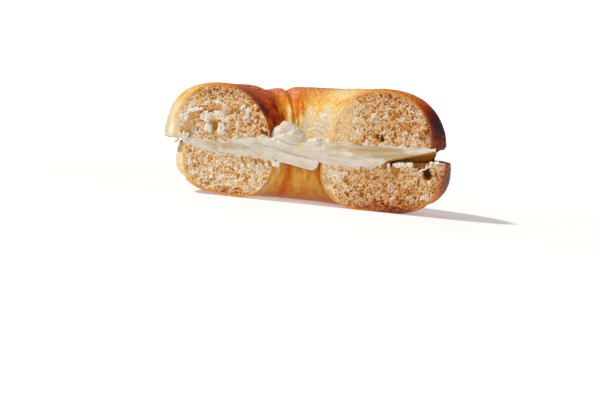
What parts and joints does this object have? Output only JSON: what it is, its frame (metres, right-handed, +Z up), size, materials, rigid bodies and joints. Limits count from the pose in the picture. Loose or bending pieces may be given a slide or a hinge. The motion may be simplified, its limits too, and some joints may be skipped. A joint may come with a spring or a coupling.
{
  "type": "halved filled bagel",
  "caption": "Half of a bagel filled with cream cheese, cut upright across its ring, resting level on its flat base with the cut side to the front.",
  "frame": {"origin": "on the surface it rests on, under the middle of the object's box", "axes": "+Z up from the flat base, +X to the right along the cut face, +Y away from the cut face into the bread"},
  "size_m": [0.1168, 0.067, 0.0494],
  "materials": {
    "top_bread": "satin",
    "bottom_bread": "matte",
    "cream_cheese": "satin"
  },
  "bodies": {
    "root": {"top_bread": "top_bread", "bottom_bread": "bottom_bread", "cream_cheese": "cream_cheese"}
  },
  "joints": []
}
